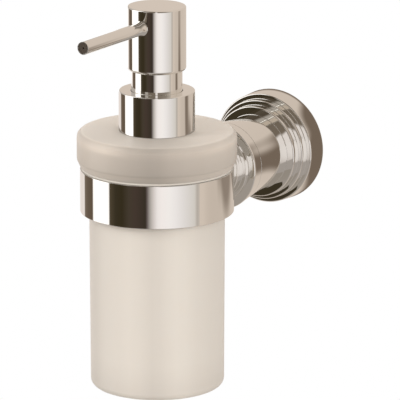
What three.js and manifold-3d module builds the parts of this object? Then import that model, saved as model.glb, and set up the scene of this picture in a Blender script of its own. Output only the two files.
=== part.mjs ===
// Wall-mounted liquid soap dispenser. A stepped rosette and a flared arm carry a polished ring, a frosted
// glass vessel hangs in the ring by its flange, and a press-down pump stands in the vessel's mouth.
// Millimetres, +Z up. The origin is the centre of the wall plate's back face: the wall is the plane Y = 0
// and the dispenser reaches out along -Y. Heights are measured from the arm's axis.
import * as THREE from "three";
import { mergeVertices } from "three/addons/utils/BufferGeometryUtils.js";
import Module from "manifold-3d";

const library = await Module();
library.setup();

// Clearances and cuts
const rest = 0.3; // between pieces that rest on each other
const running = 0.25; // round pieces that slide, turn or are screwed in
const ballSeat = 0.12; // between a valve ball and its seat
const overrun = 3; // how far a cut runs past what it cuts

// Facets
const sides = 40; // round pieces that show
const smallSides = 24; // round pieces inside
const tinySides = 14; // screws, bores and balls
const roundSteps = 2; // facets of a rounded edge
const flareSteps = 6; // facets along a flare

const plate = { margin: 2.2, thickness: 6, hubRadius: 8.5, slotWidth: 4.4, slotLength: 8, slotOffset: 14.6 };

const rosette = {
  footRadius: 25.7,
  rimRadius: 25.25,
  rimDepth: 10.2,
  outerStepRadius: 23,
  innerStepRadius: 20.9,
  stepHeight: 3.9,
  rimWall: 2.6,
  faceWall: 2.2,
  edge: 0.5,
};

const grub = { radius: 1.9, socketRadius: 1, socketDepth: 1.6, sunk: 0.5 };

const stud = { radius: 3, plateDepth: 10, collarDepth: 12, chamfer: 0.5 };

const arm = { radius: 17.2, straight: 1.7, length: 32, lipRadius: 19.9, lipWidth: 7.3, edge: 0.5 };
const flareShape = 2; // 1 is a plain cone, 2 a parabola

const endCollar = {
  firstRadius: 16,
  firstHeight: 1.5,
  secondRadius: 14.1,
  secondHeight: 4.2,
  neckRadius: 13.3,
  neckLength: 4.3,
  neckRound: 1.5,
  noseRadius: 8.4,
  noseLength: 6.6,
  edge: 0.4,
};

const ring = { wall: 2, below: 8.9, above: 10.4, edge: 0.4 };

const ringScrew = {
  radius: 2.4,
  headRadius: 4.2,
  headHeight: 1.7,
  length: 8.4,
  socketRadius: 1.5,
  socketDepth: 1.2,
};

const liner = { play: 0.35, wall: 1.25, lip: 0.4, lipInset: 0.7 };

const vessel = {
  radius: 30,
  footRadius: 29.6,
  bodyLength: 99.8,
  wall: 4,
  floor: 6,
  footRound: 3,
  floorRound: 1.6,
  flangeInset: 0.2,
  chamferWidth: 1.55,
  chamferHeight: 3.45,
  flangeHeight: 16,
  flangeRound: 3,
  topWall: 8,
  shoulderRound: 5,
  mouthRadius: 13,
  mouthRound: 0.6,
};

const collar = { radius: 16.75, wall: 1.3, height: 17.8, topWall: 1.6, round: 1.2, holeEdge: 0.4 };

const plug = {
  length: 9.6,
  seatHeight: 2.2,
  cupWall: 1.9,
  cupHeight: 8.3,
  mouthGap: 0.8,
  grooveDepth: 1.3,
  grooveHeight: 2,
  grooveStep: 3.4,
  lowerGroove: 2.6,
  edge: 0.6,
};
const seal = { squeeze: 0.15, round: 0.6 };

const stroke = 8.3; // travel of the head
const neck = { radius: 11.25, spigotRadius: 10.5, boreRadius: 9.7, inCollar: 3.6, inHead: 3.2, stopGap: 0.3 };
const head = { radius: 12.92, wall: 1.3, height: 29, topWall: 1.5, topRound: 1.6, footChamfer: 1.5 };
const core = { stemSocket: 13, outletRadius: 1.2, channelRadius: 1.7, spoutSocket: 6 };

const spout = {
  drop: 7.9,
  length: 58.4,
  shankRadius: 2.7,
  rootRadius: 2.8,
  tipRadius: 2.7,
  flareRadius: 3.4,
  flareLength: 3.8,
  boreRadius: 1.7,
  nozzleRadius: 2.3,
  nozzleDepth: 3.8,
};
const nozzle = { sunk: 0.8, boreRadius: 1.1 };

const cylinder = {
  radius: 7.5,
  wall: 1.2,
  depth: 34,
  flangeRadius: 10,
  flangeHeight: 1.5,
  chamberRadius: 3,
  chamberDepth: 3.6,
  seatDepth: 1.4,
  passageRadius: 1.7,
  passageLength: 1,
  socketDepth: 6,
  socketWall: 1.25,
};
const gasket = { thickness: 1, margin: 0.3 };
const guide = { skirtLength: 5.1, flangeHeight: 1.5, flangeRadius: 8.8 };
const stem = {
  radius: 3.3,
  boreRadius: 1.9,
  flangeRadius: 5.5,
  flangeHeight: 1.4,
  neckRadius: 1.05,
  neckHeight: 1.2,
};
const outlet = { chamberRadius: 2, chamberHeight: 4, coneHeight: 1.2, ballRadius: 1.6 };
const piston = { height: 8, lipHeight: 1.7, waist: 0.75, slope: 0.8 };
const cage = { thickness: 1.2, holeRadius: 1.5, slotWidth: 1.4, slotReach: 3.4, slots: 3 };
const inlet = { ballRadius: 2.3 };
const dipTube = { radius: 2.5, boreRadius: 1.7, floorGap: 2.9 };
const spring = { wireRadius: 0.4, coilRadius: 4.9, coils: 6 };
const curlSteps = 8;
const wireSides = 5;

// Heights along the vessel's axis, from the ring up to the head and down through the pump
const flangeBottom = ring.above + rest + liner.lip + rest;
const flangeTop = flangeBottom + vessel.flangeHeight;
const vesselBottom = flangeBottom - vessel.bodyLength;
const collarBottom = flangeTop + rest;
const collarTop = collarBottom + collar.height;
const headBottom = collarTop + stroke + neck.stopGap;
const headTop = headBottom + head.height;
const plugSeat = collarBottom + plug.seatHeight;
const cylinderSeat = plugSeat + rest + gasket.thickness + rest;
const cylinderTop = cylinderSeat + cylinder.flangeHeight;
const guideSeat = cylinderTop + rest;
const guideBottom = guideSeat - guide.skirtLength;
const stemBottom = guideBottom - rest - piston.height - rest - stem.flangeHeight;
const shoulder = cylinderTop - cylinder.depth;
const cageBottom = shoulder + rest;
const springBottom = cageBottom + cage.thickness + rest;
const springTop = stemBottom - rest;
const seatTop = shoulder - cylinder.chamberDepth;
const seatBottom = seatTop - cylinder.seatDepth;
const socketTop = seatBottom - cylinder.passageLength;
const coreBottom = headBottom + rest;
const stemTop = coreBottom + core.stemSocket - rest;
const spoutHeight = headTop - spout.drop;

// Radii that the ring and the vessel share, from the vessel's body outwards
const linerInside = vessel.radius + liner.play;
const linerOutside = linerInside + liner.wall;
const ringInner = linerOutside + rest;
const ringRadius = ringInner + ring.wall;
const flangeFoot = ringRadius - vessel.flangeInset;
const flangeRadius = flangeFoot + vessel.chamferWidth;

// Distances out from the wall
const rosetteFront = rosette.rimDepth + rosette.stepHeight + rosette.stepHeight;
const armBack = rosetteFront + rest;
const armLip = rosetteFront + arm.length;
const armSeam = armLip - arm.lipWidth;
const neckEnd = armLip + endCollar.firstHeight + endCollar.secondHeight + endCollar.neckLength;
const ringFace = neckEnd + endCollar.noseLength;
const reach = ringFace + ringRadius; // to the vessel's axis
const ringInside = ringFace + ring.wall;

// Radii that pieces share
const cavityRadius = rosette.rimRadius - rosette.rimWall;
const plateRadius = cavityRadius - plate.margin;
const studBore = stud.radius + running;
const cylinderBore = cylinder.radius - cylinder.wall;
const cupRadius = collar.radius - collar.wall - rest;
const headBore = head.radius - head.wall;
const collarHole = neck.radius + running + running;

function finish(color, roughness, metalness) {
  return () => new THREE.MeshStandardMaterial({ color, roughness, metalness });
}
const nickel = finish(0xcfc2b0, 0.1, 1);
const steel = finish(0xb4b4b2, 0.35, 1);
const frostedGlass = finish(0xe2dacf, 0.55, 0);
const clearPlastic = finish(0xe8e6e0, 0.4, 0);
const darkPlastic = finish(0x3c342c, 0.6, 0);
const softSeal = finish(0xd9d6cf, 0.8, 0);

// An outline through corners [radius, height, round], where round is how far the corner is cut back.
function outline(corners, closed = true) {
  const points = [];
  corners.forEach(([radius, height, round = 0], i) => {
    const corner = new THREE.Vector2(radius, height);
    if (round === 0) {
      points.push(corner);
      return;
    }
    const cut = ([r, h]) => new THREE.Vector2(r, h).sub(corner).setLength(round).add(corner);
    const start = cut(corners.at(i - 1));
    const end = cut(corners[(i + 1) % corners.length]);
    points.push(...new THREE.QuadraticBezierCurve(start, corner, end).getPoints(roundSteps));
  });
  if (closed) points.push(points[0].clone());
  return points;
}

// A ring or tube turned round its own Y axis, from an outline that closes on itself.
function turned(corners, count = smallSides) {
  return new THREE.LatheGeometry(outline(corners), count);
}

// A solid turned round its own Y axis, from an outline that starts and ends on the axis.
function turnedSolid(corners, count = smallSides) {
  return new THREE.LatheGeometry(outline(corners, false), count);
}

// A plain rod along Y between two heights.
function rod(radius, from, to, count = tinySides) {
  return new THREE.CylinderGeometry(radius, radius, to - from, count).translate(0, (from + to) / 2, 0);
}

// A hexagonal cut along Y for a key.
function hexSocket(radius, from, to) {
  return rod(radius, from, to, 6);
}

function block(width, height, depth, x, y, z) {
  return new THREE.BoxGeometry(width, height, depth).translate(x, y, z);
}

// A rod or lathe along Y laid down to point along Z, which is forward in the column's frame.
function forward(geometry) {
  return geometry.rotateX(Math.PI / 2);
}

function solid(geometry) {
  const plain = geometry.clone();
  plain.deleteAttribute("normal");
  plain.deleteAttribute("uv");
  const merged = mergeVertices(plain);
  return new library.Manifold(
    new library.Mesh({
      numProp: 3,
      vertProperties: merged.attributes.position.array,
      triVerts: new Uint32Array(merged.index.array),
    }),
  );
}

function geometryOf(made) {
  const { vertProperties, triVerts } = made.getMesh();
  const geometry = new THREE.BufferGeometry();
  geometry.setAttribute("position", new THREE.BufferAttribute(vertProperties, 3));
  geometry.setIndex(new THREE.BufferAttribute(triVerts, 1));
  geometry.computeVertexNormals();
  return geometry;
}

function cut(geometry, ...cutters) {
  return geometryOf(cutters.reduce((made, cutter) => made.subtract(solid(cutter)), solid(geometry)));
}

function add(group, name, geometry, material) {
  const mesh = new THREE.Mesh(geometry, material());
  mesh.name = name;
  group.add(mesh);
}

// The arm's flare, as outline corners between two distances from the wall. It leaves the straight part of
// the arm slowly and opens towards the lip.
function armFlare(from, to) {
  const start = armBack + arm.straight;
  const corners = [];
  for (let i = 0; i <= flareSteps; i++) {
    const out = from + ((to - from) * i) / flareSteps;
    const share = Math.max(0, (out - start) / (armLip - start));
    corners.push([arm.radius + (arm.lipRadius - arm.radius) * share ** flareShape, out]);
  }
  return corners;
}

// The plate on the wall: a disc with a hub for the stud and two level slots for the wall screws.
function wallPlate() {
  const hubFront = rosetteFront - rosette.faceWall - rest;
  const body = turnedSolid(
    [
      [0, 0],
      [plateRadius, 0],
      [plateRadius, plate.thickness],
      [plate.hubRadius, plate.thickness],
      [plate.hubRadius, hubFront],
      [0, hubFront],
    ],
    sides,
  );
  const slotRadius = plate.slotWidth / 2;
  const slotHalf = plate.slotLength / 2 - slotRadius;
  const through = plate.thickness + overrun;
  const slots = [-plate.slotOffset, plate.slotOffset].flatMap((x) => [
    rod(slotRadius, -overrun, through).translate(x + slotHalf, 0, 0),
    rod(slotRadius, -overrun, through).translate(x - slotHalf, 0, 0),
    block(slotHalf * 2, through + overrun, plate.slotWidth, x, (through - overrun) / 2, 0),
  ]);
  const bore = rod(studBore, hubFront - stud.plateDepth, hubFront + overrun);
  return cut(body, bore, ...slots);
}

// The rosette: a rim and two steps that rise to the arm, hollow behind.
function rosetteCover() {
  const { footRadius, rimRadius, rimDepth, outerStepRadius, innerStepRadius, stepHeight, edge } = rosette;
  const faceDepth = rimDepth - rosette.faceWall;
  const innerRadius = innerStepRadius - rosette.rimWall;
  const innerDepth = rosetteFront - rosette.faceWall;
  const shell = turned(
    [
      [cavityRadius, 0],
      [footRadius, 0],
      [rimRadius, rimDepth, edge],
      [outerStepRadius, rimDepth],
      [outerStepRadius, rimDepth + stepHeight, edge],
      [innerStepRadius, rimDepth + stepHeight],
      [innerStepRadius, rosetteFront, edge],
      [studBore, rosetteFront],
      [studBore, innerDepth],
      [innerRadius, innerDepth],
      [innerRadius, faceDepth],
      [cavityRadius, faceDepth],
    ],
    sides,
  );
  const hole = forward(rod(grub.radius + running, -footRadius - overrun, -plateRadius));
  return cut(shell, hole.translate(0, plate.thickness / 2, 0));
}

// The set screw under the rosette, which bears on the plate's edge. It points up, with its socket below.
function grubScrew() {
  const tip = -plateRadius - rest;
  const end = -rosette.rimRadius + grub.sunk;
  const socket = hexSocket(grub.socketRadius, end - overrun, end + grub.socketDepth);
  return forward(cut(rod(grub.radius, end, tip), socket)).translate(0, plate.thickness / 2, 0);
}

function armStud() {
  const start = rosetteFront - rosette.faceWall - rest - stud.plateDepth + rest;
  const end = armSeam + stud.collarDepth;
  return turnedSolid(
    [
      [0, start],
      [stud.radius - stud.chamfer, start],
      [stud.radius, start + stud.chamfer],
      [stud.radius, end - stud.chamfer],
      [stud.radius - stud.chamfer, end],
      [0, end],
    ],
    tinySides,
  );
}

function armPost() {
  const end = armSeam - rest;
  const flare = armFlare(armBack + arm.straight, end);
  return turned([[studBore, armBack], [arm.radius, armBack], ...flare, [studBore, end]], sides);
}

// The end of the arm: the flare's lip, two steps down to a neck, and a nose that fits the ring's curve.
function armEndCollar() {
  const { firstRadius, firstHeight, secondRadius, secondHeight, neckRadius, noseRadius, edge } = endCollar;
  const firstEnd = armLip + firstHeight;
  const secondEnd = firstEnd + secondHeight;
  const flare = armFlare(armSeam, armLip).slice(0, -1);
  const body = turnedSolid(
    [
      [0, armSeam],
      ...flare,
      [arm.lipRadius, armLip, arm.edge],
      [firstRadius, armLip],
      [firstRadius, firstEnd, edge],
      [secondRadius, firstEnd],
      [secondRadius, secondEnd, edge],
      [neckRadius, secondEnd],
      [neckRadius, neckEnd, endCollar.neckRound],
      [noseRadius, neckEnd],
      [noseRadius, ringInside],
      [0, ringInside],
    ],
    sides,
  );
  const ringBody = forward(rod(ringRadius + rest, -ringRadius, ringRadius, sides));
  const screwEnd = ringInside - ringScrew.length - rest;
  return cut(
    body,
    ringBody.translate(0, reach, 0),
    rod(studBore, armSeam - overrun, armSeam + stud.collarDepth + rest),
    rod(ringScrew.radius + running, screwEnd, ringInside + overrun),
  );
}

// The countersunk screw that holds the ring to the arm, put in from inside the ring.
function screwForRing() {
  const { radius, headRadius, headHeight, length, socketRadius, socketDepth } = ringScrew;
  const top = ringInside - rest;
  const body = turnedSolid(
    [
      [0, ringInside - length],
      [radius, ringInside - length],
      [radius, top - headHeight],
      [headRadius, top],
      [0, top],
    ],
    tinySides,
  );
  return cut(body, hexSocket(socketRadius, top - socketDepth, top + overrun));
}

function holderRing() {
  const { below, above, edge } = ring;
  const band = turned(
    [
      [ringInner, -below, edge],
      [ringRadius, -below, edge],
      [ringRadius, above, edge],
      [ringInner, above, edge],
    ],
    sides,
  );
  // The column's forward is away from the wall, so the screw hole is at the back.
  const { radius, headRadius, headHeight } = ringScrew;
  const narrow = radius + running;
  const depth = headHeight + overrun;
  const wide = narrow + ((headRadius - radius) / headHeight) * depth;
  const cone = new THREE.CylinderGeometry(wide, narrow, depth, tinySides);
  const sink = forward(cone.translate(0, -ringInner - rest - headHeight + depth / 2, 0));
  const hole = forward(rod(narrow, -ringRadius - overrun, -ringInner + overrun));
  return cut(band, sink, hole);
}

function ringLiner() {
  const lipBottom = ring.above + rest;
  const lipRadius = ringRadius - liner.lipInset;
  return turned(
    [
      [linerInside, -ring.below + rest],
      [linerOutside, -ring.below + rest],
      [linerOutside, lipBottom],
      [lipRadius, lipBottom],
      [lipRadius, lipBottom + liner.lip],
      [linerInside, lipBottom + liner.lip],
    ],
    sides,
  );
}

// The vessel: a thick flange with a chamfer beneath, a body that narrows a little, and a plain mouth.
function glassVessel() {
  const v = vessel;
  const inner = v.radius - v.wall;
  const floorTop = vesselBottom + v.floor;
  return turnedSolid(
    [
      [0, vesselBottom],
      [v.footRadius, vesselBottom, v.footRound],
      [v.radius, flangeBottom],
      [flangeFoot, flangeBottom],
      [flangeRadius, flangeBottom + v.chamferHeight, v.mouthRound],
      [flangeRadius, flangeTop, v.flangeRound],
      [v.mouthRadius, flangeTop, v.mouthRound],
      [v.mouthRadius, flangeTop - v.topWall, v.mouthRound],
      [inner, flangeTop - v.topWall, v.shoulderRound],
      [v.footRadius - v.wall, floorTop, v.floorRound],
      [0, floorTop],
    ],
    sides,
  );
}

// The plug that fills the vessel's mouth: two grooves for the seals, and a cup above that the collar covers.
function mouthPlug() {
  const radius = vessel.mouthRadius - plug.mouthGap;
  const groove = radius - plug.grooveDepth;
  const bottom = flangeTop - plug.length;
  const bore = cylinder.radius + running;
  const cupInside = cupRadius - plug.cupWall;
  const cupTop = collarBottom + plug.cupHeight;
  const grooves = [0, plug.grooveStep].flatMap((rise) => {
    const low = bottom + plug.lowerGroove + rise;
    const high = low + plug.grooveHeight;
    return [
      [radius, low],
      [groove, low],
      [groove, high],
      [radius, high],
    ];
  });
  return turned([
    [bore, bottom],
    [radius, bottom, plug.edge],
    ...grooves,
    [radius, collarBottom],
    [cupRadius, collarBottom],
    [cupRadius, cupTop],
    [cupInside, cupTop],
    [cupInside, plugSeat],
    [bore, plugSeat],
  ]);
}

function plugSeal(rise) {
  const groove = vessel.mouthRadius - plug.mouthGap - plug.grooveDepth;
  const low = flangeTop - plug.length + plug.lowerGroove + rise + rest;
  const high = low + plug.grooveHeight - rest - rest;
  const outer = vessel.mouthRadius - seal.squeeze;
  return turned([
    [groove + rest, low],
    [outer, low, seal.round],
    [outer, high, seal.round],
    [groove + rest, high],
  ]);
}

function collarShell() {
  const { radius, wall, topWall, round, holeEdge } = collar;
  const inside = radius - wall;
  return turned(
    [
      [inside, collarBottom],
      [radius, collarBottom],
      [radius, collarTop, round],
      [collarHole, collarTop, holeEdge],
      [collarHole, collarTop - topWall],
      [inside, collarTop - topWall],
    ],
    sides,
  );
}

// The bush in the top of the collar that the neck slides in.
function guideBush() {
  const low = collarBottom + plug.cupHeight + rest;
  const high = collarTop - collar.topWall - rest;
  const inner = neck.radius + running;
  return turned([
    [inner, low],
    [cupRadius, low],
    [cupRadius, high],
    [inner, high],
  ]);
}

// The sleeve slides in the collar. Its spigot passes the head's foot and is pressed on to the core.
function neckSleeve() {
  const { radius, spigotRadius, boreRadius, inCollar, inHead } = neck;
  return turned(
    [
      [boreRadius, collarTop - inCollar],
      [radius, collarTop - inCollar],
      [radius, headBottom - rest],
      [spigotRadius, headBottom - rest],
      [spigotRadius, headBottom + inHead],
      [boreRadius, headBottom + inHead],
    ],
    sides,
  );
}

// The head's shell, with its foot turned in beneath the core.
function headShell() {
  const ceiling = headTop - head.topWall;
  const lip = neck.spigotRadius + rest;
  const shell = turnedSolid(
    [
      [0, ceiling],
      [headBore, ceiling],
      [headBore, headBottom + neck.inHead],
      [lip, headBottom + neck.inHead],
      [lip, headBottom],
      [head.radius - head.footChamfer, headBottom],
      [head.radius, headBottom + head.footChamfer],
      [head.radius, headTop, head.topRound],
      [0, headTop],
    ],
    sides,
  );
  const hole = forward(rod(spout.shankRadius + running, 0, head.radius + overrun));
  return cut(shell, hole.translate(0, spoutHeight, 0));
}

// The core inside the head, with the socket for the stem and the passage out to the spout.
function actuatorCore() {
  const radius = headBore - rest;
  const spigot = neck.boreRadius - rest;
  const step = headBottom + neck.inHead + rest;
  const ceiling = headTop - head.topWall - rest;
  const body = turnedSolid([
    [0, coreBottom],
    [spigot, coreBottom],
    [spigot, step],
    [radius, step],
    [radius, ceiling],
    [0, ceiling],
  ]);
  const socketTopHeight = coreBottom + core.stemSocket;
  const socketStart = radius - core.spoutSocket;
  return cut(
    body,
    rod(stem.radius + running, coreBottom - overrun, socketTopHeight),
    rod(core.outletRadius, socketTopHeight - overrun, spoutHeight),
    forward(rod(core.channelRadius, -core.outletRadius, socketStart + overrun)).translate(0, spoutHeight, 0),
    forward(rod(spout.shankRadius + running, socketStart, radius + overrun)).translate(0, spoutHeight, 0),
  );
}

// The spout: a shank in the core, a flare that seats on the head's side, and a tube that narrows to its tip.
function spoutTube() {
  const seat = head.radius + rest;
  const flareEnd = seat + spout.flareLength;
  const start = headBore - rest - core.spoutSocket + rest;
  const flare = [];
  for (let i = 0; i <= flareSteps; i++) {
    const share = i / flareSteps;
    const swell = (spout.flareRadius - spout.rootRadius) * (1 - share) ** flareShape;
    flare.push([spout.rootRadius + swell, seat + spout.flareLength * share]);
  }
  const back = seat - spout.flareRadius;
  const tube = turnedSolid(
    [[0, back], [spout.flareRadius, back], ...flare, [spout.tipRadius, spout.length], [0, spout.length]],
    smallSides,
  );
  const seated = solid(forward(tube)).subtract(solid(rod(seat, -overrun - seat, overrun + seat, sides)));
  const shank = solid(forward(rod(spout.shankRadius, start, flareEnd, smallSides)));
  const bore = solid(forward(rod(spout.boreRadius, start - overrun, spout.length)));
  const recessStart = spout.length - spout.nozzleDepth;
  const recess = solid(forward(rod(spout.nozzleRadius, recessStart, spout.length + overrun)));
  return geometryOf(seated.add(shank).subtract(bore).subtract(recess)).translate(0, spoutHeight, 0);
}

function nozzleTip() {
  const outer = spout.nozzleRadius - running;
  const from = spout.length - spout.nozzleDepth + rest;
  const to = spout.length - nozzle.sunk;
  const inner = nozzle.boreRadius;
  const insert = turned([[inner, from], [outer, from], [outer, to], [inner, to]], tinySides);
  return forward(insert).translate(0, spoutHeight, 0);
}

function cylinderGasket() {
  const inner = cylinder.radius + running + gasket.margin;
  const outer = cylinder.flangeRadius - gasket.margin;
  const low = plugSeat + rest;
  const high = low + gasket.thickness;
  return turned([[inner, low], [outer, low], [outer, high], [inner, high]]);
}

// The pump's cylinder: flange on top, bore, ball chamber with its conical seat, and the dip tube's socket.
function pumpCylinder() {
  const c = cylinder;
  const socket = dipTube.radius + running;
  const socketOuter = socket + c.socketWall;
  const socketBottom = socketTop - c.socketDepth;
  const neckOuter = c.chamberRadius + c.socketWall;
  return turned([
    [socket, socketBottom],
    [socketOuter, socketBottom],
    [socketOuter, socketTop],
    [neckOuter, seatBottom],
    [c.radius, shoulder - c.wall],
    [c.radius, cylinderSeat],
    [c.flangeRadius, cylinderSeat],
    [c.flangeRadius, cylinderTop],
    [cylinderBore, cylinderTop],
    [cylinderBore, shoulder],
    [c.chamberRadius, shoulder],
    [c.chamberRadius, seatTop],
    [c.passageRadius, seatBottom],
    [c.passageRadius, socketTop],
    [socket, socketTop],
  ]);
}

function stemGuide() {
  const bore = stem.radius + running;
  const skirt = cylinderBore - running;
  return turned([
    [bore, guideBottom],
    [skirt, guideBottom],
    [skirt, guideSeat],
    [guide.flangeRadius, guideSeat],
    [guide.flangeRadius, guideSeat + guide.flangeHeight],
    [bore, guideSeat + guide.flangeHeight],
  ]);
}

// The hollow stem: a flange for the spring at its foot, and the outlet ball's seat and chamber at its top.
function pistonStem() {
  const chamberBottom = stemTop - outlet.chamberHeight;
  const neckTop = chamberBottom - outlet.coneHeight;
  const neckBottom = neckTop - stem.neckHeight;
  return turned(
    [
      [stem.boreRadius, stemBottom],
      [stem.flangeRadius, stemBottom],
      [stem.flangeRadius, stemBottom + stem.flangeHeight],
      [stem.radius, stemBottom + stem.flangeHeight],
      [stem.radius, stemTop],
      [outlet.chamberRadius, stemTop],
      [outlet.chamberRadius, chamberBottom],
      [stem.neckRadius, neckTop],
      [stem.neckRadius, neckBottom],
      [stem.boreRadius, neckBottom - outlet.coneHeight],
    ],
    tinySides,
  );
}

function pistonSeal() {
  const inner = stem.radius + running;
  const outer = cylinderBore - running;
  const waist = outer - piston.waist;
  const low = stemBottom + stem.flangeHeight + rest;
  const high = low + piston.height;
  return turned([
    [inner, low],
    [outer, low],
    [outer, low + piston.lipHeight],
    [waist, low + piston.lipHeight + piston.slope],
    [waist, high - piston.lipHeight - piston.slope],
    [outer, high - piston.lipHeight],
    [outer, high],
    [inner, high],
  ]);
}

// The cage over the inlet ball, which is also the spring's seat. Slots round its hole let the soap pass.
function inletCage() {
  const outer = cylinderBore - running;
  const inner = cage.holeRadius;
  const top = cageBottom + cage.thickness;
  const disc = turned([[inner, cageBottom], [outer, cageBottom], [outer, top], [inner, top]]);
  const slotHeight = cage.thickness + overrun;
  const slots = [];
  for (let i = 0; i < cage.slots; i++) {
    const slot = block(cage.slotReach, slotHeight, cage.slotWidth, cage.slotReach / 2, cageBottom, 0);
    slots.push(slot.rotateY((i * 2 * Math.PI) / cage.slots));
  }
  return cut(disc, ...slots);
}

// Height of a ball's centre where it rests on a cone that widens from one radius to another.
function seatedHeight(ballRadius, narrow, wide, bottom, top) {
  const slant = Math.hypot(wide - narrow, top - bottom);
  return bottom + ((ballRadius + ballSeat) * slant - narrow * (top - bottom)) / (wide - narrow);
}

function ball(radius, height) {
  return new THREE.SphereGeometry(radius, tinySides, tinySides / 2).translate(0, height, 0);
}

function inletBall() {
  const { passageRadius, chamberRadius } = cylinder;
  const height = seatedHeight(inlet.ballRadius, passageRadius, chamberRadius, seatBottom, seatTop);
  return ball(inlet.ballRadius, height);
}

function outletBall() {
  const top = stemTop - outlet.chamberHeight;
  const bottom = top - outlet.coneHeight;
  const height = seatedHeight(outlet.ballRadius, stem.neckRadius, outlet.chamberRadius, bottom, top);
  return ball(outlet.ballRadius, height);
}

// The dip tube, cut off at a slant above the vessel's floor.
function dipTubeBody() {
  const { radius, boreRadius } = dipTube;
  const top = socketTop - rest;
  const bottom = vesselBottom + vessel.floor + dipTube.floorGap;
  const tube = turned([[boreRadius, bottom], [radius, bottom], [radius, top], [boreRadius, top]], tinySides);
  const size = (radius + overrun) * 2;
  const wedge = new THREE.BoxGeometry(size, size, size).translate(0, -size / 2, 0).rotateZ(Math.PI / 4);
  return cut(tube, wedge.translate(0, bottom + radius, 0));
}

// The return spring, one unbroken wire wound up the bore.
function returnSpring() {
  const { wireRadius, coilRadius, coils } = spring;
  const rise = (springTop - springBottom - wireRadius * 2) / coils;
  const steps = coils * curlSteps;
  const centre = (turn) => {
    const angle = turn * 2 * Math.PI;
    const height = springBottom + wireRadius + rise * turn;
    return [coilRadius * Math.cos(angle), height, coilRadius * Math.sin(angle)];
  };
  const positions = [];
  const faces = [];
  for (let i = 0; i <= steps; i++) {
    const turn = i / curlSteps;
    const [x, y, z] = centre(turn);
    const angle = turn * 2 * Math.PI;
    for (let j = 0; j < wireSides; j++) {
      const across = (j * 2 * Math.PI) / wireSides;
      const out = wireRadius * Math.cos(across);
      const up = wireRadius * Math.sin(across);
      positions.push(x + out * Math.cos(angle), y + up, z + out * Math.sin(angle));
      if (i === steps) continue;
      const here = i * wireSides + j;
      const beside = i * wireSides + ((j + 1) % wireSides);
      faces.push(here, beside, beside + wireSides, here, beside + wireSides, here + wireSides);
    }
  }
  const last = steps * wireSides;
  for (let j = 1; j < wireSides - 1; j++) {
    faces.push(0, j + 1, j);
    faces.push(last, last + j, last + j + 1);
  }
  const geometry = new THREE.BufferGeometry();
  geometry.setAttribute("position", new THREE.Float32BufferAttribute(positions, 3));
  geometry.setIndex(faces);
  geometry.computeVertexNormals();

  let least = Infinity;
  for (let i = 0; i <= steps; i++) {
    for (let j = i + curlSteps / 2; j <= steps; j++) {
      const [ax, ay, az] = centre(i / curlSteps);
      const [bx, by, bz] = centre(j / curlSteps);
      least = Math.min(least, Math.hypot(ax - bx, ay - by, az - bz) - wireRadius * 2);
    }
  }
  console.log("return spring: least gap between its coils " + least.toFixed(2) + " mm");
  return geometry;
}

// In the holder's frame Y runs out from the wall and Z is up.
const holder = new THREE.Group();
holder.rotation.z = Math.PI;
add(holder, "wall_plate", wallPlate(), steel);
add(holder, "rosette_cover", rosetteCover(), nickel);
add(holder, "rosette_grub_screw", grubScrew(), steel);
add(holder, "arm_stud", armStud(), steel);
add(holder, "arm_post", armPost(), nickel);
add(holder, "arm_end_collar", armEndCollar(), nickel);
add(holder, "ring_screw", screwForRing(), steel);

// In the column's frame Y is up, Z is forward, away from the wall, and the vessel's axis is the Y axis.
const column = new THREE.Group();
column.position.set(0, -reach, 0);
column.rotation.x = Math.PI / 2;
add(column, "holder_ring", holderRing(), nickel);
add(column, "ring_liner", ringLiner(), clearPlastic);
add(column, "glass_vessel", glassVessel(), frostedGlass);

const pump = new THREE.Group();
add(pump, "mouth_plug", mouthPlug(), clearPlastic);
add(pump, "plug_seal_lower", plugSeal(0), softSeal);
add(pump, "plug_seal_upper", plugSeal(plug.grooveStep), softSeal);
add(pump, "collar_shell", collarShell(), nickel);
add(pump, "guide_bush", guideBush(), clearPlastic);
add(pump, "cylinder_gasket", cylinderGasket(), softSeal);
add(pump, "pump_cylinder", pumpCylinder(), clearPlastic);
add(pump, "stem_guide", stemGuide(), clearPlastic);
add(pump, "inlet_cage", inletCage(), clearPlastic);
add(pump, "inlet_ball", inletBall(), steel);
add(pump, "return_spring", returnSpring(), steel);
add(pump, "dip_tube", dipTubeBody(), clearPlastic);
add(pump, "piston_stem", pistonStem(), clearPlastic);
add(pump, "piston", pistonSeal(), softSeal);
add(pump, "outlet_ball", outletBall(), steel);

const headGroup = new THREE.Group();
add(headGroup, "neck_sleeve", neckSleeve(), nickel);
add(headGroup, "head_shell", headShell(), nickel);
add(headGroup, "actuator_core", actuatorCore(), clearPlastic);
add(headGroup, "spout_tube", spoutTube(), nickel);
add(headGroup, "nozzle_tip", nozzleTip(), darkPlastic);
pump.add(headGroup);
column.add(pump);

const dispenser = new THREE.Group();
dispenser.name = "soap_dispenser";
dispenser.add(holder, column);

export default dispenser;
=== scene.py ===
import math

import bmesh
import bpy
from mathutils import Matrix, Vector


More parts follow.
